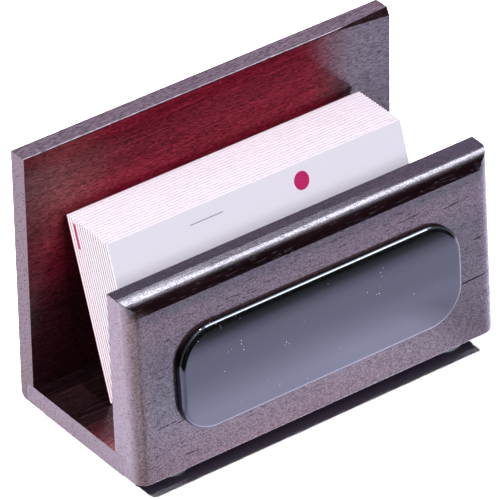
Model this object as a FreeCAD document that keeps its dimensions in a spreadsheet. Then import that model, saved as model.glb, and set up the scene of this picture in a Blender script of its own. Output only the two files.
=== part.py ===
import FreeCAD, Part
import math
import os

import Sketcher

# Desk holder for business cards: back board, base board and front board of
# lacquered wood glued into a trough that is open at both ends, four stick-on
# feet, a crowned badge stuck on the front board and a pack of leaning cards.
# Millimetres and degrees. +Z up, +X along the holder, the front board faces -Y.
# The origin is on the desk, under the middle of the whole object.

SIZES = {
    # wooden trough, outside sizes without the feet
    "length": 112.0,
    "depth": 50.3,
    "back_height": 72.7,
    "back_thick": 5.4,
    "base_thick": 5.6,
    "front_height": 51.5,
    "front_foot_thick": 10.3,
    # both faces of the front board lean back, the outer one more
    "front_lean": 3.5,
    "trough_lean": 1.6,
    # rabbets that take the long edges of the base board
    "back_rabbet": 3.0,
    "front_rabbet": 3.0,
    # rounded edges
    "front_top_round": 3.0,
    "left_corner_round": 3.5,
    "right_corner_round": 5.2,
    "front_sole_ease": 0.4,
    "back_top_ease": 0.4,
    # a hand-sanded flat that takes the back board's top inner edge down to the right
    "flat_run": 20.0,
    "flat_drop": 2.1,
    "flat_depth": 1.15,
    "back_heel_round": 2.0,
    # badge on the front face, and the tape behind it
    "badge_width": 86.6,
    "badge_height": 29.5,
    "badge_base": 9.4,
    "badge_corner": 10.4,
    "badge_thick": 2.2,
    "badge_crown": 0.6,
    "badge_rim_round": 1.45,
    "badge_tape_thick": 0.2,
    "badge_tape_margin": 1.2,
    # stick-on feet
    "foot_diameter": 10.0,
    "foot_height": 2.5,
    "foot_edge_bevel": 0.6,
    "foot_tape_thick": 0.2,
    "foot_tape_margin": 0.4,
    "foot_end_inset": 13.2,
    "foot_side_inset": 6.9,
    # cards
    "card_length": 90.0,
    "card_height": 50.0,
    "card_thick": 0.85,
    "card_count": 16,
    "card_fan_gap": 0.225,
    "card_front_clearance": 0.2,
    "card_rest_gap": 1.3,
    "card_floor_gap": 0.1,
}

# Places that follow from the sizes. Y is measured from the front board's foot
# line and Z from the wood's underside.
DERIVED = {
    "trough_back": "sizes.depth - sizes.back_thick",
    "back_rabbet_floor": "trough_back + sizes.back_rabbet",
    "front_rabbet_floor": "sizes.front_foot_thick - sizes.front_rabbet",
    "front_top_outer": "sizes.front_height * tan(sizes.front_lean * 1 deg)",
    "trough_front": "sizes.front_foot_thick + sizes.base_thick * tan(sizes.trough_lean * 1 deg)",
    "front_top_inner": (
        "sizes.front_foot_thick + sizes.front_height * tan(sizes.trough_lean * 1 deg)"
    ),
    # the badge's crown is an arc over its height
    "badge_edge_thick": "sizes.badge_thick - sizes.badge_crown",
    "crown_radius": (
        "((sizes.badge_height / 2) ^ 2 + sizes.badge_crown ^ 2) / (2 * sizes.badge_crown)"
    ),
    # how far the crown stands out in front of the foot line
    "badge_reach": (
        "(sizes.badge_tape_thick + sizes.badge_thick - crown_radius)"
        " * cos(sizes.front_lean * 1 deg) + crown_radius"
        " - (sizes.badge_base + sizes.badge_height / 2) * sin(sizes.front_lean * 1 deg)"
    ),
    "foot_line": "(badge_reach - sizes.depth) / 2",
    "wood_underside": "sizes.foot_height + sizes.foot_tape_thick",
    # the pack's foot stands behind the front board and the rear card's top edge leans
    # on the back board, with room to lift the pack along the front board's inner face
    "card_step": "sizes.card_thick + sizes.card_fan_gap",
    "front_card_foot": "trough_front + sizes.card_front_clearance",
    "card_room": (
        "trough_back - sizes.card_rest_gap - front_card_foot"
        " - (sizes.card_count - 1) * card_step"
    ),
    "card_lean": (
        "(asin(card_room / sqrt(sizes.card_height ^ 2 + sizes.card_thick ^ 2))"
        " - atan(sizes.card_thick / sizes.card_height)) / 1 deg"
    ),
    # a leaning card stands on its lower rear edge
    "card_foot_rise": (
        "sizes.base_thick + sizes.card_floor_gap + sizes.card_thick * sin(card_lean * 1 deg)"
    ),
}

# how far a cutting outline runs past the wood that it trims
OVERCUT = 1.0
# two places closer than this are one
SAME_PLACE = 1e-4

doc = FreeCAD.newDocument("card_holder")


def make_sheet():
    sheet = doc.addObject("Spreadsheet::Sheet", "sizes")
    for row, (name, value) in enumerate(SIZES.items(), start=1):
        sheet.set(f"A{row}", name)
        sheet.set(f"B{row}", str(value))
        sheet.setAlias(f"B{row}", name)
    doc.recompute()


def make_derived():
    derived = doc.addObject("App::VarSet", "derived")
    for name, expression in DERIVED.items():
        derived.addProperty("App::PropertyFloat", name)
        derived.setExpression(name, expression)
        doc.recompute()


def place(thing, x="0", y="0", z="0", turn_x=None):
    thing.setExpression(".Placement.Base.x", x)
    thing.setExpression(".Placement.Base.y", y)
    thing.setExpression(".Placement.Base.z", z)
    if turn_x:
        thing.Placement.Rotation = FreeCAD.Rotation(FreeCAD.Vector(1, 0, 0), 1)
        thing.setExpression(".Placement.Rotation.Angle", turn_x)


def new_body(name):
    body = doc.addObject("PartDesign::Body", name)
    body.Label = name
    return body


def new_sketch(body, name, plane):
    sketch = body.newObject("Sketcher::SketchObject", name)
    origin_plane = next(f for f in body.Origin.OriginFeatures if f.Role == plane)
    sketch.AttachmentSupport = (origin_plane, "")
    sketch.MapMode = "FlatFace"
    doc.recompute()
    return sketch


def add_arc(sketch, start, end, centre):
    # adds the shorter arc; sketch arcs run anticlockwise, so the numbers of the
    # arc's own points at start and end are returned
    up = FreeCAD.Vector(0, 0, 1)
    circle = Part.Circle(centre, up, start.distanceToPoint(centre))
    from_angle = math.atan2(start.y - centre.y, start.x - centre.x)
    to_angle = math.atan2(end.y - centre.y, end.x - centre.x)
    if (to_angle - from_angle) % (2 * math.pi) < math.pi:
        sketch.addGeometry(Part.ArcOfCircle(circle, from_angle, to_angle))
        return 1, 2
    sketch.addGeometry(Part.ArcOfCircle(circle, to_angle, from_angle))
    return 2, 1


def pin(sketch, side, point, corner):
    # holds a point of a side at its bound distances from the sketch's origin
    for kind, axis, expression in zip(("DistanceX", "DistanceY"), (-2, -1), corner):
        if expression == "0":
            sketch.addConstraint(Sketcher.Constraint("PointOnObject", side, point, axis))
            continue
        value = float(sketch.evalExpression(expression))
        index = sketch.addConstraint(Sketcher.Constraint(kind, -1, 1, side, point, value))
        sketch.setExpression(f"Constraints[{index}]", expression)


def draw_outline(sketch, corners, arc=None):
    # corners are (across, up) pairs of expressions, joined by straight sides; arc is
    # the (radius, centre) of the side from the last corner back to the first
    def at(pair):
        return FreeCAD.Vector(*(float(sketch.evalExpression(e)) for e in pair), 0)

    points = [at(corner) for corner in corners]
    following = points[1:] + points[:1]
    ends = []
    for start, end in zip(points, following):
        if arc and end == points[0]:
            ends.append(add_arc(sketch, start, end, at(arc[1])))
        else:
            sketch.addGeometry(Part.LineSegment(start, end))
            ends.append((1, 2))
    for side, (first, second) in enumerate(ends):
        after = (side + 1) % len(ends)
        sketch.addConstraint(
            Sketcher.Constraint("Coincident", side, second, after, ends[after][0])
        )
        pin(sketch, side, first, corners[side])
    if arc:
        side = len(ends) - 1
        value = float(sketch.evalExpression(arc[0]))
        index = sketch.addConstraint(Sketcher.Constraint("Radius", side, value))
        sketch.setExpression(f"Constraints[{index}]", arc[0])
    doc.recompute()


def pad_across(body, corners, width, arc=None):
    # a profile seen from the end, run along X to both sides of the middle
    sketch = new_sketch(body, body.Name + "_profile", "YZ_Plane")
    draw_outline(sketch, corners, arc)
    pad = body.newObject("PartDesign::Pad", body.Name + "_pad")
    pad.Profile = sketch
    pad.SideType = "Symmetric"
    pad.setExpression("Length", width)
    doc.recompute()


def dress_edges(body, kind, measure, name, size, wanted):
    base = body.Tip
    edges = [f"Edge{n}" for n, edge in enumerate(base.Shape.Edges, start=1) if wanted(edge)]
    feature = body.newObject(f"PartDesign::{kind}", f"{body.Name}_{name}")
    feature.Base = (base, edges)
    feature.setExpression(measure, size)
    doc.recompute()


def round_edges(body, name, radius, wanted):
    dress_edges(body, "Fillet", "Radius", name, radius, wanted)


def bevel_edges(body, name, size, wanted):
    dress_edges(body, "Chamfer", "Size", name, size, wanted)


def lies_at(edge, y=None, z=None):
    # true if both ends of the edge have the given height and distance back
    return all(
        (y is None or abs(v.Y - y) < SAME_PLACE) and (z is None or abs(v.Z - z) < SAME_PLACE)
        for v in edge.Vertexes
    )


def runs_front_to_back(edge):
    first, last = edge.Vertexes[0].Point, edge.Vertexes[-1].Point
    return abs(abs(first.y - last.y) - edge.Length) < SAME_PLACE


def sand_flat(body):
    # cuts off the top inner edge along a plane that leaves it flat_run from the right
    # end; the sketch lies in that plane, with its origin at the plane's lowest corner
    sketch = new_sketch(body, f"{body.Name}_flat", "XY_Plane")
    sketch.AttachmentOffset = FreeCAD.Placement(
        FreeCAD.Vector(), FreeCAD.Rotation(FreeCAD.Vector(1, 0.1, 0), 1)
    )
    run, drop, depth = "sizes.flat_run", "sizes.flat_drop", "sizes.flat_depth"
    offset = {
        "Base.x": "sizes.length / 2",
        "Base.y": "derived.trough_back",
        "Base.z": f"sizes.back_height - {drop}",
        "Rotation.Axis.x": run,
        "Rotation.Axis.y": depth,
        "Rotation.Angle": f"atan({drop} * sqrt({depth} ^ 2 + {run} ^ 2) / ({run} * {depth}))",
    }
    for path, expression in offset.items():
        sketch.setExpression(f".AttachmentOffset.{path}", expression)
    doc.recompute()
    reach = f"({run} + {drop} + {depth})"
    near, far = f"-{reach}", reach
    draw_outline(sketch, [(near, near), (far, near), (far, far), (near, far)])
    pocket = body.newObject("PartDesign::Pocket", f"{body.Name}_flat_pocket")
    pocket.Profile = sketch
    pocket.Reversed = True
    pocket.setExpression("Length", f"{drop} + {depth}")
    doc.recompute()


def make_back_board():
    body = new_body("back_board")
    pad_across(
        body,
        [
            ("derived.back_rabbet_floor", "0"),
            ("sizes.depth", "0"),
            ("sizes.depth", "sizes.back_height"),
            ("derived.trough_back", "sizes.back_height"),
            ("derived.trough_back", "sizes.base_thick"),
            ("derived.back_rabbet_floor", "sizes.base_thick"),
        ],
        "sizes.length",
    )
    inside = SIZES["depth"] - SIZES["back_thick"]
    top = SIZES["back_height"]
    round_edges(body, "top_ease", "sizes.back_top_ease", lambda e: lies_at(e, inside, top))
    heel = SIZES["depth"]
    round_edges(body, "heel", "sizes.back_heel_round", lambda e: lies_at(e, heel, 0))
    sand_flat(body)
    place(body, y="derived.foot_line", z="derived.wood_underside")
    return body


def make_base_board():
    board = doc.addObject("Part::Box", "base_board")
    board.setExpression("Length", "sizes.length")
    board.setExpression("Width", "derived.back_rabbet_floor - derived.front_rabbet_floor")
    board.setExpression("Height", "sizes.base_thick")
    place(
        board,
        "-sizes.length / 2",
        "derived.foot_line + derived.front_rabbet_floor",
        "derived.wood_underside",
    )
    return board


def cut_corner(body, name, side, radius):
    # trims one end of the front board to a quarter round that follows its lean;
    # side is the sign of that end's X
    sketch = new_sketch(body, f"{body.Name}_{name}", "XY_Plane")
    sketch.AttachmentOffset = FreeCAD.Placement(
        FreeCAD.Vector(), FreeCAD.Rotation(FreeCAD.Vector(1, 0, 0), -1)
    )
    sketch.setExpression(".AttachmentOffset.Rotation.Angle", "-sizes.front_lean")
    doc.recompute()
    end = f"({side} * sizes.length / 2)"
    inner = f"({end} - {side} * {radius})"
    outer = f"({end} + {side} * {OVERCUT})"
    draw_outline(
        sketch,
        [
            (inner, "0"),
            (inner, str(-OVERCUT)),
            (outer, str(-OVERCUT)),
            (outer, radius),
            (end, radius),
        ],
        arc=(radius, (inner, radius)),
    )
    pocket = body.newObject("PartDesign::Pocket", f"{body.Name}_{name}_pocket")
    pocket.Profile = sketch
    pocket.SideType = "Symmetric"
    pocket.Type = "ThroughAll"
    doc.recompute()


def make_front_board():
    body = new_body("front_board")
    pad_across(
        body,
        [
            ("0", "0"),
            ("derived.front_rabbet_floor", "0"),
            ("derived.front_rabbet_floor", "sizes.base_thick"),
            ("derived.trough_front", "sizes.base_thick"),
            ("derived.front_top_inner", "sizes.front_height"),
            ("derived.front_top_outer", "sizes.front_height"),
        ],
        "sizes.length",
    )
    top = SIZES["front_height"]
    lip = doc.derived.front_top_outer
    round_edges(body, "top_round", "sizes.front_top_round", lambda e: lies_at(e, lip, top))
    cut_corner(body, "left_corner", -1, "sizes.left_corner_round")
    cut_corner(body, "right_corner", 1, "sizes.right_corner_round")
    round_edges(body, "sole", "sizes.front_sole_ease", lambda e: lies_at(e, 0, 0))
    place(body, y="derived.foot_line", z="derived.wood_underside")
    return body


def stick_on_front(body):
    # the badge's parts are drawn against an upright face and then lean with the board
    place(
        body,
        y="derived.foot_line",
        z="derived.wood_underside",
        turn_x="-sizes.front_lean",
    )


def make_badge_tape():
    body = new_body("badge_tape")
    low = "sizes.badge_base + sizes.badge_tape_margin"
    high = "sizes.badge_base + sizes.badge_height - sizes.badge_tape_margin"
    face = "-sizes.badge_tape_thick"
    pad_across(
        body,
        [(face, low), ("0", low), ("0", high), (face, high)],
        "sizes.badge_width - 2 * sizes.badge_tape_margin",
    )
    radius = "sizes.badge_corner - sizes.badge_tape_margin"
    round_edges(body, "corners", radius, runs_front_to_back)
    stick_on_front(body)
    return body


def make_badge_plate():
    body = new_body("badge_plate")
    low = "sizes.badge_base"
    high = "sizes.badge_base + sizes.badge_height"
    back = "-sizes.badge_tape_thick"
    edge = "-sizes.badge_tape_thick - derived.badge_edge_thick"
    centre = (
        "derived.crown_radius - sizes.badge_tape_thick - sizes.badge_thick",
        "sizes.badge_base + sizes.badge_height / 2",
    )
    pad_across(
        body,
        [(edge, low), (back, low), (back, high), (edge, high)],
        "sizes.badge_width",
        arc=("derived.crown_radius", centre),
    )
    round_edges(body, "corners", "sizes.badge_corner", runs_front_to_back)
    crown = max(body.Tip.Shape.Faces, key=lambda f: -f.CenterOfMass.y)
    round_edges(
        body,
        "rim",
        "sizes.badge_rim_round",
        lambda edge: any(edge.isSame(e) for e in crown.Edges),
    )
    stick_on_front(body)
    return body


def foot_places():
    # name ending, X and Y of each foot's centre
    across = "sizes.length / 2 - sizes.foot_end_inset"
    front = "derived.foot_line + sizes.foot_side_inset"
    rear = "derived.foot_line + sizes.depth - sizes.foot_side_inset"
    for row, y in (("front", front), ("rear", rear)):
        yield f"{row}_left", f"-({across})", y
        yield f"{row}_right", across, y


def make_foot(ending, x, y):
    body = new_body(f"foot_{ending}")
    pad = body.newObject("PartDesign::AdditiveCylinder", f"{body.Name}_pad")
    pad.setExpression("Radius", "sizes.foot_diameter / 2")
    pad.setExpression("Height", "sizes.foot_height")
    doc.recompute()
    bevel_edges(body, "edge", "sizes.foot_edge_bevel", lambda e: lies_at(e, z=0))
    place(body, x, y)
    return body


def make_foot_tape(ending, x, y):
    tape = doc.addObject("Part::Cylinder", f"foot_tape_{ending}")
    tape.setExpression("Radius", "sizes.foot_diameter / 2 - sizes.foot_tape_margin")
    tape.setExpression("Height", "sizes.foot_tape_thick")
    place(tape, x, y, "sizes.foot_height")
    return tape


def make_card(name, steps_back):
    card = doc.addObject("Part::Box", name)
    card.setExpression("Length", "sizes.card_length")
    card.setExpression("Width", "sizes.card_thick")
    card.setExpression("Height", "sizes.card_height")
    foot = f"derived.foot_line + derived.front_card_foot + {steps_back} * derived.card_step"
    rise = "derived.wood_underside + derived.card_foot_rise"
    place(card, "-sizes.card_length / 2", foot, rise, turn_x="-derived.card_lean")
    return card


def check_document():
    for thing in doc.Objects:
        if {"Invalid", "Error"} & set(thing.State):
            raise RuntimeError(f"{thing.Name} failed: {thing.State}")


def write_part(part):
    shape = part.Shape
    if shape.isNull() or not shape.isValid() or len(shape.Solids) != 1:
        raise RuntimeError(f"{part.Label} is not one valid solid")
    shape.exportStep(os.path.join("parts", f"{part.Label}.step"))


make_sheet()
make_derived()
parts = [make_back_board(), make_base_board(), make_front_board()]
parts += [make_badge_tape(), make_badge_plate()]
for ending, x, y in foot_places():
    parts += [make_foot(ending, x, y), make_foot_tape(ending, x, y)]
count = SIZES["card_count"]
for steps_back in range(count):
    name = f"card_{count - steps_back:02d}" if steps_back else "front_card"
    parts.append(make_card(name, steps_back))
doc.recompute()

check_document()
os.makedirs("parts", exist_ok=True)
for part in parts:
    write_part(part)
    box = part.Shape.BoundBox
    low, high = (box.XMin, box.YMin, box.ZMin), (box.XMax, box.YMax, box.ZMax)
    print(part.Label, [round(v, 2) for v in low], [round(v, 2) for v in high])
print("cards lean back", round(doc.derived.card_lean, 2), "degrees")
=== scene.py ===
import math

import bmesh
import bpy
from mathutils import Matrix, Vector


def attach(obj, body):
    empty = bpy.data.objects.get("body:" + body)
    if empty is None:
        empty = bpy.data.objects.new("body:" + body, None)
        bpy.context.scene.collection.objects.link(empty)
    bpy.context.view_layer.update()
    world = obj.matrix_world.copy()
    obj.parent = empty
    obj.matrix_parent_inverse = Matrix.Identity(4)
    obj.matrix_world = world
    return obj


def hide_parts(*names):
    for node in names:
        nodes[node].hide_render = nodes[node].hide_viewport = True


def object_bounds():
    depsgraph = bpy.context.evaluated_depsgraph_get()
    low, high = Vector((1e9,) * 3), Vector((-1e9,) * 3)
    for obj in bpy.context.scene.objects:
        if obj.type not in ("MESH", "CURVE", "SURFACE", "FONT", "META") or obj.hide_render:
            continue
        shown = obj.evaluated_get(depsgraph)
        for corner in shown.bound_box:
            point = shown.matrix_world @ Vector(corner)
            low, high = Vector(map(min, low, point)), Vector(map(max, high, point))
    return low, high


# Looks of a lacquered desk holder for business cards. Metres, +Z up, the front faces -Y.
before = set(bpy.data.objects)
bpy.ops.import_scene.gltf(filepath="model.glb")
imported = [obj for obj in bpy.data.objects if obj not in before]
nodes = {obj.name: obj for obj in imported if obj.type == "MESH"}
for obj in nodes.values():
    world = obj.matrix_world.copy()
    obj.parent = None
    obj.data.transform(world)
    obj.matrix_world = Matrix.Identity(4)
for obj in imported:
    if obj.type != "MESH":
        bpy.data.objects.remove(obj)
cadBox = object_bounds()
mm = 0.001


def linear(hexColor):
    # an sRGB hex value as the linear colour that a shader wants
    parts = [int(hexColor[i:i + 2], 16) / 255 for i in (1, 3, 5)]
    return [p / 12.92 if p <= 0.04045 else ((p + 0.055) / 1.055) ** 2.4 for p in parts] + [1.0]


def perGrain(sizes):
    # the Mapping scale at which a texture's grains are that many millimetres along X, Y and Z
    return [1 / (size * mm) for size in sizes]


def addNode(tree, kind, inputs, **settings):
    # adds a shader node; an input takes a value, a socket, or a node whose result is linked.
    # A Mix node's factor is its input 0, its values are 2 and 3 and its colours 6 and 7.
    node = tree.nodes.new("ShaderNode" + kind)
    for name, value in settings.items():
        setattr(node, name, value)
    for name, value in inputs.items():
        if isinstance(value, bpy.types.Node):
            value = next(output for output in value.outputs if output.enabled)
        if isinstance(value, bpy.types.NodeSocket):
            tree.links.new(value, node.inputs[name])
        else:
            node.inputs[name].default_value = value
    return node


def alongSteps(tree, value, points, unit=1.0):
    # what a value becomes: it runs in straight steps through the given points, whose places
    # are in that unit, and is level before the first and after the last
    (start, low), (end, high) = points[:2]
    level = addNode(tree, "MapRange", {"Value": value, "From Min": start * unit,
                                       "From Max": end * unit, "To Min": low, "To Max": high})
    for (start, low), (end, high) in zip(points[1:], points[2:]):
        step = addNode(tree, "MapRange", {"Value": value, "From Min": start * unit,
                                          "From Max": end * unit, "To Max": high - low})
        level = addNode(tree, "Math", {0: step, 1: level})
    return level


def newMaterial(name):
    material = bpy.data.materials.new(name)
    material.use_nodes = True
    material.node_tree.nodes.clear()
    return material, material.node_tree


def linkObject(thing):
    bpy.context.scene.collection.objects.link(thing)
    return thing


def smoothCopy(node, body, material, sharpAngle=28, edge=0.0, cuts=()):
    # a copy of a solid whose rounded surfaces shade smoothly, with its sharp edges just broken
    shape = bmesh.new()
    shape.from_mesh(nodes[node].data)
    bmesh.ops.remove_doubles(shape, verts=shape.verts, dist=0.001 * mm)
    bmesh.ops.dissolve_limit(shape, angle_limit=math.radians(0.2), verts=shape.verts,
                             edges=shape.edges)
    # long faces are cut short of the corners, so that a corner shades only its own end
    for place, along in cuts:
        everything = shape.verts[:] + shape.edges[:] + shape.faces[:]
        bmesh.ops.bisect_plane(shape, geom=everything, dist=1e-6,
                               plane_co=[where * mm for where in place], plane_no=along)
    sharp = [e for e in shape.edges
             if len(e.link_faces) == 2 and e.calc_face_angle() > math.radians(sharpAngle)]
    if edge:
        bmesh.ops.bevel(shape, geom=sharp, offset=edge * mm, offset_type="OFFSET", segments=2,
                        profile=0.5, affect="EDGES", material=-1, clamp_overlap=True)
        sharp = []
    for face in shape.faces:
        face.smooth = True
    for side in sharp:
        side.smooth = False
    mesh = bpy.data.meshes.new(node + "_finish")
    shape.to_mesh(mesh)
    shape.free()
    mesh.materials.clear()
    mesh.materials.append(material)
    piece = linkObject(bpy.data.objects.new(node + "_finish", mesh))
    weigh = piece.modifiers.new("flatsLead", "WEIGHTED_NORMAL")
    weigh.keep_sharp = True
    weigh.weight = 100
    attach(piece, body)
    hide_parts(node)
    return piece


def paint(node, material):
    for slot in nodes[node].material_slots:
        slot.link = "OBJECT"
        slot.material = material


print("camera")
# place in metres, turns in degrees, lens and sensor in mm
view = {
    "place": (-0.74412, -1.00688, 0.88341),
    "azimuth": -36.329, "elevation": 34.069, "roll": -1.065,
    "lens": 440.7, "sensorWidth": 36,
}


def makeCamera(v):
    a, e, r = (math.radians(v[k]) for k in ("azimuth", "elevation", "roll"))
    back = Vector((math.sin(a) * math.cos(e), -math.cos(a) * math.cos(e), math.sin(e)))
    right = Vector((0, 0, 1)).cross(back).normalized()
    up = back.cross(right)
    right, up = (math.cos(r) * right + math.sin(r) * up,
                 math.cos(r) * up - math.sin(r) * right)
    turned = Matrix((right, up, back)).transposed().to_4x4()
    camera = linkObject(bpy.data.objects.new("camera", bpy.data.cameras.new("camera")))
    camera.data.lens = v["lens"]
    camera.data.sensor_width = v["sensorWidth"]
    camera.matrix_world = Matrix.Translation(v["place"]) @ turned
    bpy.context.scene.camera = camera


makeCamera(view)

print("wood")
# rosewood-stained hardwood under gloss lacquer: dark red-brown, fine pores filled with
# black along the grain, pale dull end grain whose paleness is partly a painted reflection.
# The real pores are finer than these, and so is the mottle of the lacquer; both are drawn
# as coarse as they need to show.
wood = {
    # patterns: the size of their grains in mm along X, Y and Z, detail and roughness
    "fibre": ((16, 0.5, 0.5), 3, 0.6), "figure": ((70, 7, 7), 2, 0.5),
    "pores": ((3.4, 0.21, 0.21), 1, 0.4), "endPores": ((2.0, 0.9, 0.26), 1, 0.4),
    "peel": ((1.5, 0.4, 0.4), 3, 0.6), "mottleSize": (0.3, 0.3, 0.3),
    # the end colour is the end grain's pale mauve: partly its own colour, partly a painted
    # reflection of the bright floor
    "poreColor": "#0D0608", "endGrainAndSheen": "#826F76", "endPoreColor": "#332C35",
    # at which values of its pattern each thing shows, and how much
    "figureShare": 0.45, "heartShows": ((0.38, 0.0), (0.62, 1.0)),
    "streakShows": ((0.58, 0.0), (0.72, 0.6)), "overlayShows": ((0.2, 0.5), (0.55, 1.0)),
    "endPoresShow": ((0.60, 0.0), (0.68, 1.0)), "mottle": 0.9,
    # pores gather where the figure is low, and thin out where it is high
    "poresGather": ((0.35, 0.03), (0.65, -0.03)), "poreEdge": 0.03,
    # how far a surface turns sideways where the end grain starts and where the sanding stops
    "endFrom": ((0.75, 0.0), (0.98, 1.0)), "sandedUpTo": ((0.6, 1.0), (0.9, 0.0)),
    # how far a crack follows the fibre in mm, and how much of its width and of its half
    # length is fully dark
    "crackBend": 1.2, "crackCore": (0.4, 0.6),
    # the relief in mm, and the peel's and the pores' share of it
    "relief": 0.04, "peelShare": 0.5, "poreShare": 0.8,
    "bareRoughness": 0.5, "lacquerRoughness": 0.17, "lacquerIor": 1.53,
    # the lacquer's weight, how much of it sinks into a pore, and how much it varies elsewhere
    "coat": 1.0, "coatSinks": 0.85, "coatMottle": 0.55,
    "cracks": (), "tintsAndPaintedLight": (), "crown": (), "burst": None,
    "sharpAngle": 28, "edge": 0.15, "cuts": (),
}
# poresFrom is the noise value at which pores begin. The tints laid over the stain give
# their colour and how much shows along an axis in mm; some are painted light, marked where they
# stand.
boards = {
    "front_board": {
        "name": "lacqueredRosewoodFront", "poresFrom": 0.70,
        "darkColor": "#12080B", "heartColor": "#1E1014", "streakColor": "#2C1A20",
        # middle X and Z, length, rise per length and width in mm
        "cracks": (
            (48.8, 20.4, 12.5, 0.04, 0.26), (53.0, 13.6, 4.0, 0.0, 0.13),
            (52.5, 15.3, 3.0, 0.0, 0.11), (-47.5, 33.5, 4.5, 0.0, 0.12),
            (-47.0, 17.5, 7.5, 0.03, 0.16), (-49.5, 10.0, 3.5, 0.0, 0.15),
            (-40.0, 7.0, 5.0, 0.0, 0.12), (-51.0, 26.0, 3.5, 0.0, 0.12),
            (29.0, 45.6, 7.0, 0.05, 0.12), (43.0, 44.2, 7.5, 0.06, 0.12),
            (50.0, 31.5, 4.0, 0.03, 0.12), (8.0, 46.0, 4.0, 0.03, 0.11),
        ),
        "tintsAndPaintedLight": (
            # painted bounce light: paler brown towards the bottom of the face, where the floor
            # lights it
            ("#5C352F", (("Z", ((4, 1), (20, 0))), ("X", ((0, 1), (50, 0.2))))),
            # painted reflection: a paler band below the top of the face, standing for the floor's
            # reflection there
            ("#523C42", (("Z", ((37, 0), (43, 1), (46.5, 1), (48.8, 0))),)),
            # paler brown at the top left corner of the face
            ("#5C4640", (("X", ((-55, 1), (-50, 0))), ("Z", ((49, 1), (53, 0))))),
        ),
        # eased by sanding towards the rounding: how deep along an axis, in mm, and how much
        # of that along X
        "crown": (
            ("Y", ((-18.9, -0.21), (-16.3, 0)),
             ((-56, 0.6), (-32, 1.0), (5, 0.85), (15, 0.7), (27, 0.3), (40, 0))),
            ("Y", ((-19.2, -0.30), (-18.7, -0.24), (-18.0, -0.13), (-17.3, -0.05), (-16.4, 0)),
             ((-56, 0.7), (-40, 0.4), (-28, 0))),
            ("Y", ((-19.3, -0.07), (-18.2, 0)), ((-5, 0), (27, 1.0), (56, 1.2))),
            ("Z", ((50.4, 0), (52.0, -0.34)), ((-57, 0), (-45, 1), (47, 1), (56, 0))),
        ),
        "cuts": (((0, 0, 51.3), (0, 0, 1)), ((0, 0, 3.8), (0, 0, 1)),
                 ((-51.8, 0, 0), (1, 0, 0)), ((50.2, 0, 0), (1, 0, 0))),
    },
    "back_board": {
        "name": "lacqueredRosewoodBack", "poresFrom": 0.69, "mottleSize": (0.9, 0.24, 0.24),
        "darkColor": "#60121F", "heartColor": "#7C1C30", "streakColor": "#8E2E3E",
        "tintsAndPaintedLight": (
            # browner red towards the left end, higher up
            ("#7E4442", (("X", ((-56, 0.5), (-44, 0.5), (-30, 0))), ("Z", ((42, 0), (60, 1))))),
        ),
        # burst finish: the red shows only on the face before the cards, fading to a dark
        # stain towards its ends, where the lacquer is also thicker. Lower down the red fades
        # further as painted shade of the cards, and the faces that look up are paler as a painted
        # reflection. Places in mm.
        "burst": {
            # the pale mauve for the upward faces is a painted reflection of the light above
            "stain": "#2A181E", "dustAndSheen": "#74616A", "facesCards": ((-0.97, 1.0), (-0.85, 0.0)),
            "facesUp": ((0.93, 0.0), (0.99, 1.0)), "redRight": (46, 29),
            # the red's share along the height fades low down as painted shade
            "redLeft": ((-57, 0.45), (-46, 1.0)), "redFadesIntoShade": ((28, 0.2), (46, 1.0)),
            "coatOnRed": 0.2, "coatOnEnds": 0.4, "coatAround": ((44, 0.74), (64, 1.0)),
            "coatAtLeft": ((26, 0.6), (44, 0.2), (50, 0.2), (66, 1.0)),
            "leftUpTo": ((-54, 0.0), (-22, 1.0)),
        },
        "sharpAngle": 20,
    },
    "base_board": {
        "name": "lacqueredRosewoodBase", "poresFrom": 0.66, "coat": 0.9,
        "darkColor": "#180E11", "heartColor": "#2C181C", "streakColor": "#5A3038",
        "tintsAndPaintedLight": (
            # painted light: a paler red pool on the trough floor by the open front left end,
            # brightest at the corner, where light falls in
            ("#7E3440", (("X", ((-56, 1), (-40, 0))), ("Y", ((-12, 1), (-1, 0))))),
            ("#8E5450", (("X", ((-56, 1), (-51, 0))), ("Y", ((-13, 1), (-8, 0))))),
        ),
        "edge": 0.1,
    },
}


def addBurst(tree, v, place, facing, fibre, onEnd, color):
    # gives the colour with the burst over it, with painted shade low down and a painted reflection
    # on the top, and the lacquer's weight
    inner = alongSteps(tree, facing["Y"], v["facesCards"])
    start, end = v["redRight"]
    right = addNode(tree, "MapRange", {"Value": place["X"], "From Min": start * mm,
                                       "From Max": end * mm}, interpolation_type="SMOOTHSTEP")
    inner = addNode(tree, "Math", {0: inner, 1: right}, operation="MULTIPLY")
    left = alongSteps(tree, place["X"], v["redLeft"], mm)
    red = addNode(tree, "Math", {0: inner, 1: left}, operation="MULTIPLY")
    # painted shade: the red fades lower down, where the cards shade the face
    upper = alongSteps(tree, place["Z"], v["redFadesIntoShade"], mm)
    red = addNode(tree, "Math", {0: red, 1: upper}, operation="MULTIPLY")
    # painted reflection: upward faces turn a pale mauve, mixed with the stain along the fibre
    sheenedTop = addNode(tree, "Mix", {0: fibre, 6: linear(v["stain"]), 7: linear(v["dustAndSheen"])},
                    data_type="RGBA")
    upward = alongSteps(tree, facing["Z"], v["facesUp"])
    outer = addNode(tree, "Mix", {0: upward, 6: linear(v["stain"]), 7: sheenedTop}, data_type="RGBA")
    color = addNode(tree, "Mix", {0: red, 6: outer, 7: color}, data_type="RGBA")
    coatLeft = alongSteps(tree, place["Z"], v["coatAtLeft"], mm)
    middle = alongSteps(tree, place["X"], v["leftUpTo"], mm)
    coatOnRed = addNode(tree, "Mix", {0: middle, 2: coatLeft, 3: v["coatOnRed"]})
    around = alongSteps(tree, place["Z"], v["coatAround"], mm)
    around = addNode(tree, "Mix", {0: onEnd, 2: around, 3: v["coatOnEnds"]})
    return color, addNode(tree, "Mix", {0: inner, 2: around, 3: coatOnRed})


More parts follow.
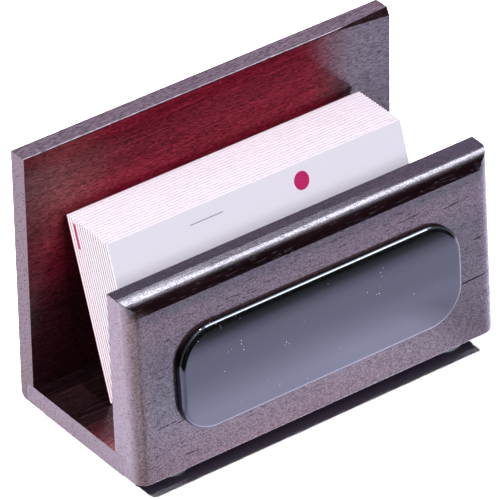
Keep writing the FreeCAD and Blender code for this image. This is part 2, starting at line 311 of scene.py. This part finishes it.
def addCrack(tree, v, place, fibre, crack):
    # gives where a crack along the grain shows
    x, z, length, rise, width = crack
    bend, (core, middle) = v["crackBend"], v["crackCore"]
    bent = addNode(tree, "Math", {0: fibre, 1: bend * mm, 2: (z - bend / 2) * mm},
                   operation="MULTIPLY_ADD")
    line = addNode(tree, "Math", {0: place["X"], 1: rise, 2: -rise * x * mm},
                   operation="MULTIPLY_ADD")
    line = addNode(tree, "Math", {0: bent, 1: line})
    above = addNode(tree, "Math", {0: line, 1: place["Z"]}, operation="SUBTRACT")
    above = addNode(tree, "Math", {0: above}, operation="ABSOLUTE")
    near = alongSteps(tree, above, ((width * core, 1.0), (width, 0.0)), mm)
    away = addNode(tree, "Math", {0: place["X"], 1: x * mm}, operation="SUBTRACT")
    away = addNode(tree, "Math", {0: away}, operation="ABSOLUTE")
    inside = alongSteps(tree, away, ((length / 2 * middle, 1.0), (length / 2, 0.0)), mm)
    return addNode(tree, "Math", {0: near, 1: inside}, operation="MULTIPLY")


def makeWood(v):
    material, tree = newMaterial(v["name"])
    space = addNode(tree, "TexCoord", {}).outputs
    coords = space["Object"]
    place = addNode(tree, "SeparateXYZ", {0: coords}).outputs
    facing = addNode(tree, "SeparateXYZ", {0: space["Normal"]}).outputs
    sideways = addNode(tree, "Math", {0: facing["X"]}, operation="ABSOLUTE")
    onEnd = alongSteps(tree, sideways, v["endFrom"])
    patterns = (v[name] for name in ("fibre", "figure", "pores", "endPores", "peel"))
    fibre, figure, pores, endPores, peel = [addNode(tree, "TexNoise", {
        "Vector": addNode(tree, "Mapping", {"Vector": coords, "Scale": perGrain(size)}),
        "Scale": 1, "Detail": detail, "Roughness": roughness,
    }) for size, detail, roughness in patterns]

    # the stain, its streaks and the tints laid over it, some of them painted light
    tone = addNode(tree, "Mix", {0: v["figureShare"], 2: fibre, 3: figure})
    color = addNode(tree, "Mix", {0: alongSteps(tree, tone, v["heartShows"]),
                                  6: linear(v["darkColor"]), 7: linear(v["heartColor"])},
                    data_type="RGBA")
    color = addNode(tree, "Mix", {0: alongSteps(tree, fibre, v["streakShows"]), 6: color,
                                  7: linear(v["streakColor"])}, data_type="RGBA")
    patch = alongSteps(tree, figure, v["overlayShows"])
    for tint, zones in v["tintsAndPaintedLight"]:
        shown = patch
        for axis, points in zones:
            share = alongSteps(tree, place[axis], points, mm)
            shown = addNode(tree, "Math", {0: shown, 1: share}, operation="MULTIPLY")
        color = addNode(tree, "Mix", {0: shown, 6: color, 7: linear(tint)}, data_type="RGBA")
    coat = v["coat"]
    if v["burst"]:
        color, coat = addBurst(tree, v["burst"], place, facing, fibre, onEnd, color)

    # pores, cracks and mottle over it, and the end grain
    gathered = alongSteps(tree, figure, v["poresGather"])
    deep = addNode(tree, "Math", {0: pores, 1: gathered})
    deep = alongSteps(tree, deep, ((v["poresFrom"], 0.0), (v["poresFrom"] + v["poreEdge"], 1.0)))
    for crack in v["cracks"]:
        deep = addNode(tree, "Math", {0: deep, 1: addCrack(tree, v, place, fibre, crack)},
                       operation="MAXIMUM")
    cells = addNode(tree, "VectorMath", {0: coords, 1: [size * mm for size in v["mottleSize"]]},
                    operation="SNAP")
    cells = addNode(tree, "TexWhiteNoise", {"Vector": cells}).outputs["Value"]
    mottle = addNode(tree, "Math", {0: cells, 1: v["mottle"], 2: 1.0 - v["mottle"] / 2},
                     operation="MULTIPLY_ADD")
    color = addNode(tree, "VectorMath", {0: color, "Scale": mottle}, operation="SCALE")
    color = addNode(tree, "Mix", {0: deep, 6: color, 7: linear(v["poreColor"])}, data_type="RGBA")
    ends = addNode(tree, "Mix", {0: alongSteps(tree, endPores, v["endPoresShow"]),
                                 6: linear(v["endGrainAndSheen"]), 7: linear(v["endPoreColor"])},
                   data_type="RGBA")
    color = addNode(tree, "Mix", {0: onEnd, 6: color, 7: ends}, data_type="RGBA")

    # the relief of the lacquer, over the sanded crown
    sunk = addNode(tree, "Math", {0: deep, 1: -v["poreShare"]}, operation="MULTIPLY")
    height = addNode(tree, "Math", {0: peel, 1: v["peelShare"], 2: sunk}, operation="MULTIPLY_ADD")
    bump = addNode(tree, "Bump", {"Height": height, "Strength": 1.0, "Distance": v["relief"] * mm})
    sanded = alongSteps(tree, sideways, v["sandedUpTo"])
    for axis, points, share in v["crown"]:
        fall = alongSteps(tree, place[axis], points, mm)
        much = alongSteps(tree, place["X"], [(where, part * mm) for where, part in share], mm)
        much = addNode(tree, "Math", {0: much, 1: sanded}, operation="MULTIPLY")
        bump = addNode(tree, "Bump", {"Height": fall, "Strength": 1.0, "Distance": much,
                                      "Normal": bump})

    # the lacquer sinks into the pores and is a little uneven between them
    weight = addNode(tree, "Math", {0: deep, 1: -v["coatSinks"], 2: 1.0}, operation="MULTIPLY_ADD")
    uneven = addNode(tree, "Math", {0: cells, 1: v["coatMottle"], 2: 1.0 - v["coatMottle"]},
                     operation="MULTIPLY_ADD")
    weight = addNode(tree, "Math", {0: weight, 1: uneven}, operation="MULTIPLY")
    weight = addNode(tree, "Math", {0: weight, 1: coat}, operation="MULTIPLY")
    lacquer = addNode(tree, "BsdfPrincipled", {
        "Base Color": color, "Roughness": v["bareRoughness"], "Specular IOR Level": 0.0,
        "Coat Weight": weight, "Coat Roughness": v["lacquerRoughness"],
        "Coat IOR": v["lacquerIor"], "Normal": bump, "Coat Normal": bump,
    })
    addNode(tree, "OutputMaterial", {"Surface": lacquer})
    return material


for node, values in boards.items():
    board = {**wood, **values}
    smoothCopy(node, "holder", makeWood(board), board["sharpAngle"],
               board["edge"], board["cuts"])

print("badge")
# moulded acrylic, polished: black, mirror-like, with a few dust specks. Sizes in mm.
badge = {
    "color": "#020203", "tint": "#E6F3FF", "roughness": 0.09, "ior": 1.44,
    "film": 0.006, "filmSize": 0.34, "dustColor": "#C9CCD8", "dustSize": 0.9,
    "dustShows": ((0.08, 1.0), (0.16, 0.0)),
    "dustPatch": 2.6, "patchShows": ((0.70, 0.0), (0.74, 1.0)),
    "waveSize": 0.6, "waveDepth": 0.002,
    # the dome: between which heights the face falls back, and how far
    "domeFrom": 15, "domeTo": 44, "domeDrop": 0.95,
}


def makeBadgePlastic(v):
    material, tree = newMaterial("blackAcrylic")
    coords = addNode(tree, "TexCoord", {}).outputs["Object"]
    cells = addNode(tree, "TexVoronoi", {"Vector": coords, "Scale": 1 / (v["dustSize"] * mm)})
    grain = alongSteps(tree, cells.outputs["Distance"], v["dustShows"])
    patch = addNode(tree, "TexNoise", {"Vector": coords, "Scale": 1 / (v["dustPatch"] * mm),
                                       "Detail": 0})
    patch = alongSteps(tree, patch, v["patchShows"])
    speck = addNode(tree, "Math", {0: grain, 1: patch}, operation="MULTIPLY")
    film = addNode(tree, "VectorMath", {0: coords, 1: (v["filmSize"] * mm,) * 3}, operation="SNAP")
    film = addNode(tree, "TexWhiteNoise", {"Vector": film}).outputs["Value"]
    film = addNode(tree, "Math", {0: film, 1: v["film"]}, operation="MULTIPLY")
    dustAndSheen = addNode(tree, "Math", {0: speck, 1: film}, operation="MAXIMUM")
    color = addNode(tree, "Mix", {0: dustAndSheen, 6: linear(v["color"]), 7: linear(v["dustColor"])},
                    data_type="RGBA")
    waves = addNode(tree, "TexNoise", {"Vector": coords, "Scale": 1 / (v["waveSize"] * mm),
                                       "Detail": 2})
    bump = addNode(tree, "Bump", {"Height": waves, "Strength": 1.0,
                                  "Distance": v["waveDepth"] * mm})
    high = addNode(tree, "SeparateXYZ", {0: coords}).outputs["Z"]
    rise = alongSteps(tree, high, ((v["domeFrom"], 0.0), (v["domeTo"], 1.0)), mm)
    fall = addNode(tree, "Math", {0: rise, 1: rise}, operation="MULTIPLY")
    bump = addNode(tree, "Bump", {"Height": fall, "Strength": 1.0,
                                  "Distance": -v["domeDrop"] * mm, "Normal": bump})
    acrylic = addNode(tree, "BsdfPrincipled", {
        "Base Color": color, "Roughness": v["roughness"], "IOR": v["ior"],
        "Specular Tint": linear(v["tint"]), "Normal": bump,
    })
    addNode(tree, "OutputMaterial", {"Surface": acrylic})
    return material


badgePlate = smoothCopy("badge_plate", "holder", makeBadgePlastic(badge),
                        sharpAngle=40)

print("cards")
# uncoated board, guillotine-cut: matt white, with a rose tint where the colour on the
# cards' edges has bled in from the cut. Stripes of that tint between the cards are also painted
# shade of the gaps.
cards = {
    "face": "#EDEAF6", "edge": "#FCF6FA", "rim": "#B24E7A",
    # how far a surface turns towards an axis before it is a face or an end
    "turned": ((0.7, 0.0), (0.8, 1.0)),
    # the tint at the top of a face, partly ink and partly painted shade of the gap to the next
    # card: its height and fade in mm, and how much of it shows
    "rimTop": 55.2, "rimFade": 0.1, "rimShare": 0.2,
    # the fibres: their size and relief in mm, their colour and how much of it shows
    "fibreSize": (0.6, 0.25, 0.6), "fibreDepth": 0.01, "fibreColor": "#B9B6C4",
    "fibreShows": ((0.35, 0.0), (0.75, 0.06)),
    # the cut edges: the cards' lean in degrees, a point of the front card's face and the
    # spacing in mm, the part of each edge that is tinted, as ink bleed and as painted shade of
    # the gap to the next card, and its share on the long edges
    "lean": 18.68, "facePoint": (-13.864, 8.672), "spacing": 1.0184,
    "tintShows": ((0.62, 0.0), (0.70, 1.0)), "tintOnTops": 0.42,
    # the tint's colours, its clouds in mm, and the card from which the ends are redder
    "bleed": "#84506A", "bleedPale": "#A9859A", "bleedRear": "#C86C88", "rearFrom": 11.6,
    "cloudSize": 6, "cloudShows": ((0.35, 0.0), (0.65, 1.0)),
    # a red mark on the end of one card: the card and the height, and half its size
    "mark": "#C22A4C", "markAt": (13.3, 51.5), "markHalf": (0.35, 3.2),
    # printed on the front card: a dot and a rule, with X, Z and radius or half length in mm
    "dotColor": "#C01260", "dotAt": (13.0, 51.6, 2.3), "dotFade": 0.05,
    "ruleColor": "#8C86A8", "ruleAt": (-16.0, 52.2, 5.0), "ruleHalf": 0.12,
    "roughness": 0.85, "ior": 1.45, "specular": 0.25,
}


def addEdges(tree, v, coords, height, onEnd):
    # the colour of the cards' cut edges, with stripes that are ink bleed and painted shade of the
    # gaps between cards
    lean, (y0, z0) = math.radians(v["lean"]), v["facePoint"]
    pitch = v["spacing"] * mm
    across = (0, math.cos(lean) / pitch, -math.sin(lean) / pitch)
    steps = addNode(tree, "VectorMath", {0: coords, 1: across},
                    operation="DOT_PRODUCT").outputs["Value"]
    first = (y0 * math.cos(lean) - z0 * math.sin(lean)) / v["spacing"]
    count = addNode(tree, "Math", {0: steps, 1: first}, operation="SUBTRACT")
    # painted shade: a stripe on each card's edge stands for the shaded gap to the next card, tinted
    # with the bleed
    tinted = alongSteps(tree, addNode(tree, "Math", {0: count}, operation="FRACT"), v["tintShows"])
    cloud = addNode(tree, "TexNoise", {"Vector": coords, "Scale": 1 / (v["cloudSize"] * mm),
                                       "Detail": 1})
    bleed = addNode(tree, "Mix", {0: alongSteps(tree, cloud, v["cloudShows"]),
                                  6: linear(v["bleed"]), 7: linear(v["bleedPale"])},
                    data_type="RGBA")
    rear = addNode(tree, "Math", {0: count, 1: v["rearFrom"]}, operation="GREATER_THAN")
    rear = addNode(tree, "Math", {0: rear, 1: onEnd}, operation="MULTIPLY")
    bleed = addNode(tree, "Mix", {0: rear, 6: bleed, 7: linear(v["bleedRear"])}, data_type="RGBA")
    much = alongSteps(tree, onEnd, ((0.0, v["tintOnTops"]), (1.0, 1.0)))
    shown = addNode(tree, "Math", {0: tinted, 1: much}, operation="MULTIPLY")
    edge = addNode(tree, "Mix", {0: shown, 6: linear(v["edge"]), 7: bleed}, data_type="RGBA")
    (card, level), (halfCard, halfHeight) = v["markAt"], v["markHalf"]
    atCard = addNode(tree, "Math", {0: count, 1: card, 2: halfCard}, operation="COMPARE")
    atHeight = addNode(tree, "Math", {0: height, 1: level * mm, 2: halfHeight * mm},
                       operation="COMPARE")
    atMark = addNode(tree, "Math", {0: atCard, 1: atHeight}, operation="MULTIPLY")
    atMark = addNode(tree, "Math", {0: atMark, 1: onEnd}, operation="MULTIPLY")
    return addNode(tree, "Mix", {0: atMark, 6: edge, 7: linear(v["mark"])}, data_type="RGBA")


def addPrint(tree, v, coords, place, turned):
    # the colour of the front card's face, with a dot and a rule on its front
    x, z, radius = v["dotAt"]
    upright = addNode(tree, "VectorMath", {0: coords, 1: (1, 0, 1)}, operation="MULTIPLY")
    away = addNode(tree, "VectorMath", {0: upright, 1: (x * mm, 0, z * mm)},
                   operation="DISTANCE").outputs["Value"]
    dot = alongSteps(tree, away, ((radius - v["dotFade"], 1.0), (radius + v["dotFade"], 0.0)), mm)
    front = addNode(tree, "Mix", {0: dot, 6: linear(v["face"]), 7: linear(v["dotColor"])},
                    data_type="RGBA")
    x, z, half = v["ruleAt"]
    along = addNode(tree, "Math", {0: place["X"], 1: x * mm, 2: half * mm}, operation="COMPARE")
    level = addNode(tree, "Math", {0: place["Z"], 1: z * mm, 2: v["ruleHalf"] * mm},
                    operation="COMPARE")
    rule = addNode(tree, "Math", {0: along, 1: level}, operation="MULTIPLY")
    front = addNode(tree, "Mix", {0: rule, 6: front, 7: linear(v["ruleColor"])}, data_type="RGBA")
    forward = addNode(tree, "Math", {0: turned, 1: 0.0}, operation="LESS_THAN")
    return addNode(tree, "Mix", {0: forward, 6: linear(v["face"]), 7: front}, data_type="RGBA")


def makeCardStock(name, v, rim, printed=False):
    material, tree = newMaterial(name)
    space = addNode(tree, "TexCoord", {}).outputs
    coords = space["Object"]
    place = addNode(tree, "SeparateXYZ", {0: coords}).outputs
    facing = addNode(tree, "SeparateXYZ", {0: space["Normal"]}).outputs
    forward = addNode(tree, "Math", {0: facing["Y"]}, operation="ABSOLUTE")
    onFace = alongSteps(tree, forward, v["turned"])
    sideways = addNode(tree, "Math", {0: facing["X"]}, operation="ABSOLUTE")
    onEnd = alongSteps(tree, sideways, v["turned"])
    face = linear(v["face"])
    if printed:
        face = addPrint(tree, v, coords, place, facing["Y"])
    color = addNode(tree, "Mix", {0: onFace, 6: addEdges(tree, v, coords, place["Z"], onEnd),
                                  7: face}, data_type="RGBA")
    # partly painted shade: each face's top is tinted where it meets the shaded gap between cards
    top = alongSteps(tree, place["Z"], ((v["rimTop"] - v["rimFade"], 0.0),
                                        (v["rimTop"] + v["rimFade"], v["rimShare"])), mm)
    tint = addNode(tree, "Math", {0: top, 1: onFace}, operation="MULTIPLY")
    color = addNode(tree, "Mix", {0: tint, 6: color, 7: linear(rim)}, data_type="RGBA")
    fine = addNode(tree, "Mapping", {"Vector": coords, "Scale": perGrain(v["fibreSize"])})
    fibre = addNode(tree, "TexNoise", {"Vector": fine, "Scale": 1, "Detail": 3, "Roughness": 0.6})
    faint = alongSteps(tree, fibre, v["fibreShows"])
    color = addNode(tree, "Mix", {0: faint, 6: color, 7: linear(v["fibreColor"])},
                    data_type="RGBA")
    bump = addNode(tree, "Bump", {"Height": fibre, "Strength": 0.3,
                                  "Distance": v["fibreDepth"] * mm})
    paper = addNode(tree, "BsdfPrincipled", {
        "Base Color": color, "Roughness": v["roughness"], "IOR": v["ior"],
        "Specular IOR Level": v["specular"], "Normal": bump,
    })
    addNode(tree, "OutputMaterial", {"Surface": paper})
    return material


packStock = makeCardStock("uncoatedBoard", cards, cards["rim"])
for node in nodes:
    if node.startswith("card_"):
        paint(node, packStock)
paint("front_card", makeCardStock("uncoatedBoardFront", cards, cards["face"], True))

print("feet")
# moulded rubber: near black with a green cast, matt, fine mould texture. Sizes in mm.
foot = {"dark": "#101513", "pale": "#1F2724", "gritSize": 0.25, "gritDepth": 0.02,
        "paleShows": ((0.3, 0.0), (0.7, 1.0)), "roughness": 0.6, "specular": 0.4}
# double-sided foam tape: dark, open-celled edge
foam = {"dark": "#161618", "pale": "#2C2C30", "cellSize": 0.12,
        "paleShows": ((0.35, 0.0), (0.65, 1.0)), "roughness": 0.9, "specular": 0.2}


def makeRubber(v):
    material, tree = newMaterial("mouldedRubber")
    coords = addNode(tree, "TexCoord", {}).outputs["Object"]
    grit = addNode(tree, "TexNoise", {"Vector": coords, "Scale": 1 / (v["gritSize"] * mm)})
    color = addNode(tree, "Mix", {0: alongSteps(tree, grit, v["paleShows"]),
                                  6: linear(v["dark"]), 7: linear(v["pale"])}, data_type="RGBA")
    bump = addNode(tree, "Bump", {"Height": grit, "Strength": 0.4, "Distance": v["gritDepth"] * mm})
    rubber = addNode(tree, "BsdfPrincipled", {
        "Base Color": color, "Roughness": v["roughness"], "Specular IOR Level": v["specular"],
        "Normal": bump,
    })
    addNode(tree, "OutputMaterial", {"Surface": rubber})
    return material


def makeTape(v):
    material, tree = newMaterial("foamTape")
    coords = addNode(tree, "TexCoord", {}).outputs["Object"]
    cells = addNode(tree, "TexNoise", {"Vector": coords, "Scale": 1 / (v["cellSize"] * mm),
                                       "Detail": 1})
    color = addNode(tree, "Mix", {0: alongSteps(tree, cells, v["paleShows"]),
                                  6: linear(v["dark"]), 7: linear(v["pale"])}, data_type="RGBA")
    tape = addNode(tree, "BsdfPrincipled", {"Base Color": color, "Roughness": v["roughness"],
                                            "Specular IOR Level": v["specular"]})
    addNode(tree, "OutputMaterial", {"Surface": tape})
    return material


rubber, tape = makeRubber(foot), makeTape(foam)
for corner in ("front_left", "front_right", "rear_left", "rear_right"):
    smoothCopy("foot_" + corner, "holder", rubber)
    paint("foot_tape_" + corner, tape)
paint("badge_tape", tape)

print("studio")
# places and sizes in metres; every pair of places and levels is a point that alongSteps
# goes through
studio = {
    "floorWidth": 6.0, "floorDrop": 0.05 * mm, "floorColor": "#F6F6F7",
    "ambient": 0.085, "ambientColor": "#DCC6FA",
    # lamps far away: how far their light comes over from the right and the rear per unit of
    # height, the level at which they render a flat white surface, and their width in degrees
    "key": ((0.023, 0.093), 0.45, 0.6), "floorKey": ((0.023, 0.093), 0.7, 0.6),
    "overhead": ((0.0, 0.05), 0.13, 13.0),
    "sideLeft": ((-0.85, 1.0), 1.15, 1.5), "sideRight": ((2.6, 2.0), 1.15, 1.5),
    # soft lamps that light the object alone: place, width, level, and what they aim at
    "frontLamp": ((0.10, -0.70, 0.66), 0.50, 0.70), "leftLamp": ((-0.80, 0.00, 0.30), 0.40, 1.05),
    "rearLamp": ((0.50, 0.75, 0.45), 0.50, 0.25), "softAim": (0, 0, 0.03),
    # a small lamp that shows as the white line along the badge's upper rim: place, target,
    # size, radiance
    "rimLamp": ((0.145, -0.119, 0.33), (0.145, -0.024, 0.04), (0.20, 0.13), 42.0),
    # reflectors: two opposite corners, the colour, and the level along an axis
    "softbox": ((0.10, -0.13, 0.61), (0.62, 0.60, 0.61)), "boxColor": "#EFECFF",
    "boxDepth": ((-0.13, 6.0), (-0.05, 9.0), (0.02, 19.0), (0.06, 26.0), (0.34, 27.0),
                 (0.375, 12.0), (0.41, 7.5), (0.46, 6.2), (0.52, 4.2), (0.60, 1.8)),
    "panel": ((-0.05, 0.30, 0.20), (0.60, 0.30, 0.42)), "panelColor": "#DCD0FF",
    "panelLevels": ((0.156, 1.35), (0.21, 1.4), (0.236, 1.25), (0.29, 1.6)),
    # a card before the object and one over it, black at the bottom and paler upwards
    "flag": ((-0.35, -0.136, 0.0), (0.60, -0.136, 0.90)),
    "roof": ((-0.35, -0.136, 0.90), (0.60, -0.02, 0.90)),
    "flagLevels": ((0.15, 0.0), (0.22, 0.5), (0.27, 1.1), (0.34, 2.8), (0.55, 6.5)),
    # the light table, and the object's shade on it beyond its left end
    "table": ((-0.30, -0.132, 0.3 * mm), (0.22, 0.25, 0.3 * mm)), "tableColor": "#E7DEFF",
    "tableDepth": ((-0.127, 0.6), (-0.118, 2.4), (-0.108, 3.9), (-0.098, 4.8), (-0.080, 4.9),
                   (-0.068, 5.3), (-0.055, 6.7), (-0.046, 7.7), (-0.038, 7.2), (-0.028, 6.6),
                   (0.005, 4.6)),
    "footShade": ((-0.006, 1.0), (0.0, 0.55), (0.014, 1.0)),
    # what is left of its level along X, to the left and right, and where this holds along Y,
    # close before the object; then the same for a darker strip at its right end
    "tableEnds": (
        (((-0.050, 0.76), (-0.028, 0.94), (0.005, 0.95), (0.025, 1.0), (0.050, 0.90),
          (0.075, 0.80)), ((-0.088, 0.0), (-0.055, 1.0), (-0.025, 1.0), (-0.010, 0.0))),
        (((0.042, 1.0), (0.054, 0.62), (0.073, 0.85), (0.104, 0.80)),
         ((-0.062, 0.0), (-0.048, 1.0), (-0.034, 1.0), (-0.024, 0.5))),
    ),
}


def makePlane(name, near, far, material):
    # a rectangle from its lower left front corner to the one opposite
    (left, front, low), (right, rear, high) = near, far
    shape = bmesh.new()
    corners = (left, front, low), (right, front, low), (right, rear, high), (left, rear, high)
    shape.faces.new([shape.verts.new(c) for c in corners])
    mesh = bpy.data.meshes.new(name)
    shape.to_mesh(mesh)
    shape.free()
    mesh.materials.append(material)
    plane = linkObject(bpy.data.objects.new(name, mesh))
    return plane


def makeFloor(v):
    material, tree = newMaterial("whiteStudioPaper")
    paper = addNode(tree, "BsdfPrincipled", {"Base Color": linear(v["floorColor"]),
                                             "Roughness": 1.0, "Specular IOR Level": 0.0})
    addNode(tree, "OutputMaterial", {"Surface": paper})
    half, low = v["floorWidth"] / 2, -v["floorDrop"]
    floor = makePlane("floor", (-half, -half, low), (half, half, low), material)
    floor.visible_diffuse = floor.visible_glossy = False    # the white world stands for it there
    return floor


def makeWorld(v):
    # white where the camera and reflections see it, and a faint soft light elsewhere
    world = bpy.data.worlds.new("studio")
    bpy.context.scene.world = world
    world.use_nodes = True
    tree = world.node_tree
    tree.nodes.clear()
    rays = addNode(tree, "LightPath", {}).outputs
    seen = addNode(tree, "Math", {0: rays["Is Camera Ray"], 1: rays["Is Glossy Ray"]})
    seen = addNode(tree, "Math", {0: seen, 1: rays["Is Transmission Ray"]}, use_clamp=True)
    soft = addNode(tree, "Background", {"Color": linear(v["ambientColor"]),
                                        "Strength": v["ambient"]})
    white = addNode(tree, "Background", {"Color": (1, 1, 1, 1), "Strength": 1.0})
    both = addNode(tree, "MixShader", {0: seen, 1: soft, 2: white})
    addNode(tree, "OutputWorld", {"Surface": both})


def makeGroup(name, things):
    group = bpy.data.collections.new(name)
    for thing in things:
        group.objects.link(thing)
    return group


def makeSun(name, v, lit=None, shading=None):
    (overX, overY), level, angle = v[name]
    lamp = bpy.data.lights.new(name, "SUN")
    towards = Vector((overX, overY, 1))
    lamp.energy = math.pi * level * towards.length
    lamp.angle = math.radians(angle)
    sun = linkObject(bpy.data.objects.new(name, lamp))
    sun.rotation_euler = towards.to_track_quat("Z", "Y").to_euler()
    sun.light_linking.receiver_collection = lit
    sun.light_linking.blocker_collection = shading


def makeAreaLamp(name, place, target, size, radiance):
    lamp = bpy.data.lights.new(name, "AREA")
    lamp.shape = "RECTANGLE"
    lamp.size, lamp.size_y = size
    lamp.energy = math.pi * size[0] * size[1] * radiance
    thing = linkObject(bpy.data.objects.new(name, lamp))
    thing.location = place
    thing.rotation_euler = (Vector(place) - Vector(target)).to_track_quat("Z", "Y").to_euler()
    thing.visible_camera = False
    return thing


def makeLamps(v, floor):
    pieces = [thing for thing in bpy.context.scene.objects
              if thing.type == "MESH" and thing != floor]
    lit = makeGroup("litBySoftLamps", pieces)
    blockers = makeGroup("shadesKey", [p for p in pieces if not p.name.startswith("badge")])
    floorOnly = makeGroup("litFromSides", [floor])
    makeSun("key", v, None, blockers)
    makeSun("floorKey", v, floorOnly, blockers)
    for name in ("overhead", "sideLeft", "sideRight"):
        makeSun(name, v, floorOnly)
    for name in ("frontLamp", "leftLamp", "rearLamp"):
        # a white surface that faces it renders at level
        place, width, level = v[name]
        radiance = level * math.pi * Vector(place).length ** 2 / width ** 2
        lamp = makeAreaLamp(name, place, v["softAim"], (width, width), radiance)
        lamp.visible_glossy = False
        lamp.light_linking.receiver_collection = lit
    rimLamp = makeAreaLamp("rimLamp", *v["rimLamp"])
    rimLamp.light_linking.receiver_collection = makeGroup("litByRimLamp", [badgePlate])


def addGlow(tree, color, level):
    glow = addNode(tree, "Emission", {"Color": linear(color), "Strength": level})
    addNode(tree, "OutputMaterial", {"Surface": glow})


def makeGlow(name, color, axis, levels):
    # cloth or card that glows as it runs along an axis
    material, tree = newMaterial(name)
    coords = addNode(tree, "TexCoord", {}).outputs["Object"]
    place = addNode(tree, "SeparateXYZ", {0: coords}).outputs
    addGlow(tree, color, alongSteps(tree, place[axis], levels))
    return material


def makeTableGlow(v):
    # brightest just before the object, and dimmer in its shade and to the left and right
    material, tree = newMaterial("lightTable")
    coords = addNode(tree, "TexCoord", {}).outputs["Object"]
    place = addNode(tree, "SeparateXYZ", {0: coords}).outputs
    level = alongSteps(tree, place["Y"], v["tableDepth"])
    beside = addNode(tree, "Math", {0: cadBox[0][0], 1: place["X"]}, operation="SUBTRACT")
    shade = alongSteps(tree, beside, v["footShade"])
    level = addNode(tree, "Math", {0: level, 1: shade}, operation="MULTIPLY")
    for across, reach in v["tableEnds"]:
        dim = alongSteps(tree, place["X"], across)
        dim = addNode(tree, "Math", {0: level, 1: dim}, operation="MULTIPLY")
        close = alongSteps(tree, place["Y"], reach)
        level = addNode(tree, "Mix", {0: close, 2: level, 3: dim})
    # no glow for rays that have bounced off a dull surface
    depth = addNode(tree, "LightPath", {}).outputs["Diffuse Depth"]
    direct = addNode(tree, "Math", {0: depth, 1: 0.5}, operation="LESS_THAN")
    addGlow(tree, v["tableColor"], addNode(tree, "Math", {0: level, 1: direct},
                                           operation="MULTIPLY"))
    return material


def makeReflectors(v):
    # a light table under the object, a softbox over it, a panel behind it and a card before
    # and over it, which only glossy surfaces show
    cloth = makeGlow("softboxCloth", v["boxColor"], "Y", v["boxDepth"])
    panel = makeGlow("whitePanel", v["panelColor"], "X", v["panelLevels"])
    card = makeGlow("shadedFlagCard", v["boxColor"], "Z", v["flagLevels"])
    reflectors = (
        ("lightTable", v["table"], makeTableGlow(v)), ("softbox", v["softbox"], cloth),
        ("whitePanel", v["panel"], panel), ("blackFlag", v["flag"], card),
        ("blackRoof", v["roof"], card),
    )
    for name, (near, far), material in reflectors:
        plane = makePlane(name, near, far, material)
        for ray in ("camera", "diffuse", "transmission", "volume_scatter", "shadow"):
            setattr(plane, "visible_" + ray, False)


floor = makeFloor(studio)
makeWorld(studio)
makeLamps(studio, floor)
makeReflectors(studio)

bpy.context.scene.view_settings.view_transform = "Standard"
